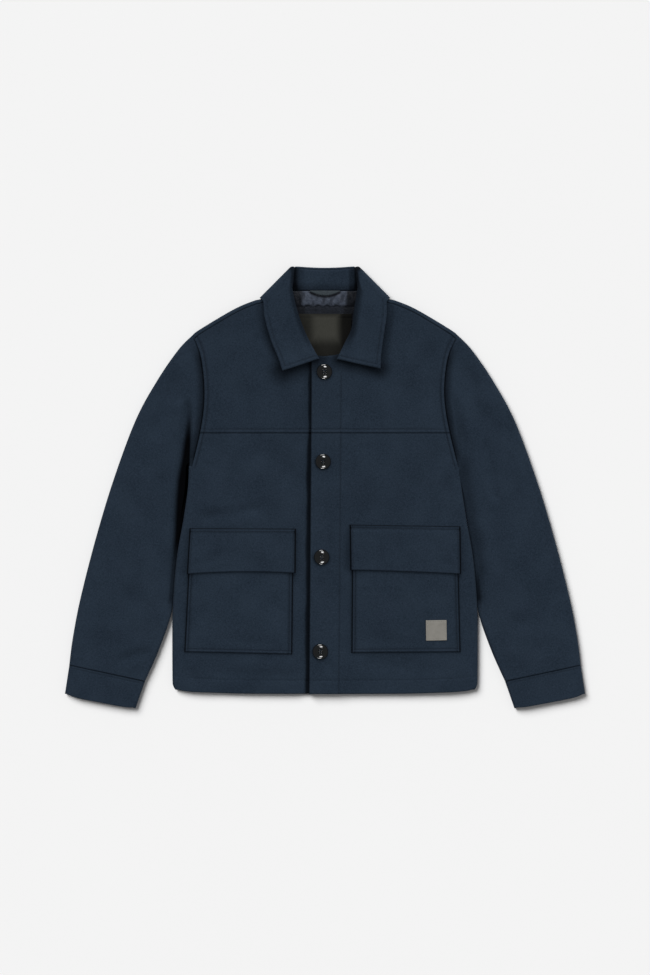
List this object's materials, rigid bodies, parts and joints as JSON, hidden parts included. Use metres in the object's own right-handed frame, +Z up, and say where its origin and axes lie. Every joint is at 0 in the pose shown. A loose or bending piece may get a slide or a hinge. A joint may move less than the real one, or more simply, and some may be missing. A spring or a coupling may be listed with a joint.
{
  "type": "button-front jacket",
  "caption": "Short wool jacket laid flat and buttoned, with a turned-down collar, a front yoke, flapped patch pockets and cuffed sleeves.",
  "frame": {"origin": "on the surface the jacket lies on, under the middle of its outline", "axes": "+X towards the wearer's left sleeve, +Y from hem to collar, +Z up out of the front"},
  "size_m": [0.9198, 0.7795, 0.0203],
  "materials": {
    "melton": "matt felted navy wool",
    "lining": "quilted navy nylon with a soft sheen",
    "label": "dark woven satin",
    "patch": "matt grey, smooth",
    "button": "polished black"
  },
  "bodies": {
    "root": {"back": "melton", "front_right": "melton", "front_left": "melton", "yoke_right": "melton", "yoke_left": "melton", "sleeve_right": "melton", "sleeve_left": "melton", "cuff_right": "melton", "cuff_left": "melton", "collar_fall": "melton", "collar_stand": "melton", "pocket_right": "melton", "pocket_left": "melton", "flap_right": "melton", "flap_left": "melton", "hanging_loop": "melton", "neck_lining": "lining", "neck_label": "label", "pocket_patch": "patch", "button_1": "button", "button_2": "button", "button_3": "button", "button_4": "button"}
  },
  "joints": []
}
